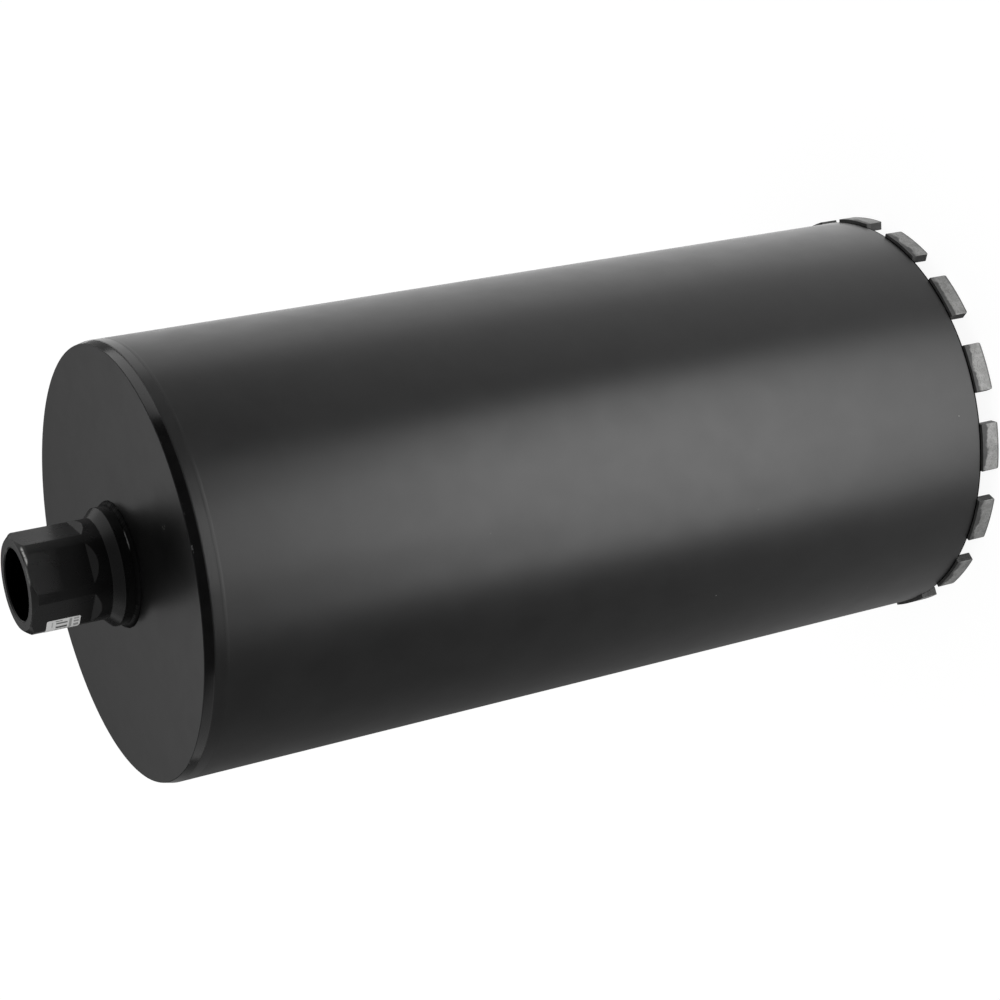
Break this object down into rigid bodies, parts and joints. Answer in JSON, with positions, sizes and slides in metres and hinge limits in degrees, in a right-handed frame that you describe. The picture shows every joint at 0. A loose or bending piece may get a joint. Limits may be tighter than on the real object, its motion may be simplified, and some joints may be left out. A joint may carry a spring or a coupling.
{
  "type": "diamond core bit",
  "caption": "Tubular core drill for masonry: steel barrel with a threaded hub on its end plate and sintered cutting segments round the open rim.",
  "frame": {"origin": "on the drilling axis, in the plane of the segments' tips, on which the bit stands", "axes": "+Z along the drilling axis from the segments to the hub; +X square to the hub's first spanner flat; +Y completes a right-handed frame"},
  "size_m": [0.2, 0.2, 0.4553],
  "materials": {
    "barrel_paint": "satin black paint on drawn steel tube",
    "plate_paint": "satin black paint on turned steel",
    "hub_paint": "semi-gloss black paint on machined steel",
    "weld_paint": "black paint over weld metal",
    "sintered_metal": "matt sintered metal with diamond grit",
    "label_film": "matt white film"
  },
  "bodies": {
    "root": {"barrel_tube": "barrel_paint", "end_plate": "plate_paint", "rim_weld": "weld_paint", "hub": "hub_paint", "hub_weld": "weld_paint", "label": "label_film", "segment_01": "sintered_metal", "segment_02": "sintered_metal", "segment_03": "sintered_metal", "segment_04": "sintered_metal", "segment_05": "sintered_metal", "segment_06": "sintered_metal", "segment_07": "sintered_metal", "segment_08": "sintered_metal", "segment_09": "sintered_metal", "segment_10": "sintered_metal", "segment_11": "sintered_metal", "segment_12": "sintered_metal", "segment_13": "sintered_metal", "segment_14": "sintered_metal", "segment_15": "sintered_metal", "segment_16": "sintered_metal"}
  },
  "joints": []
}
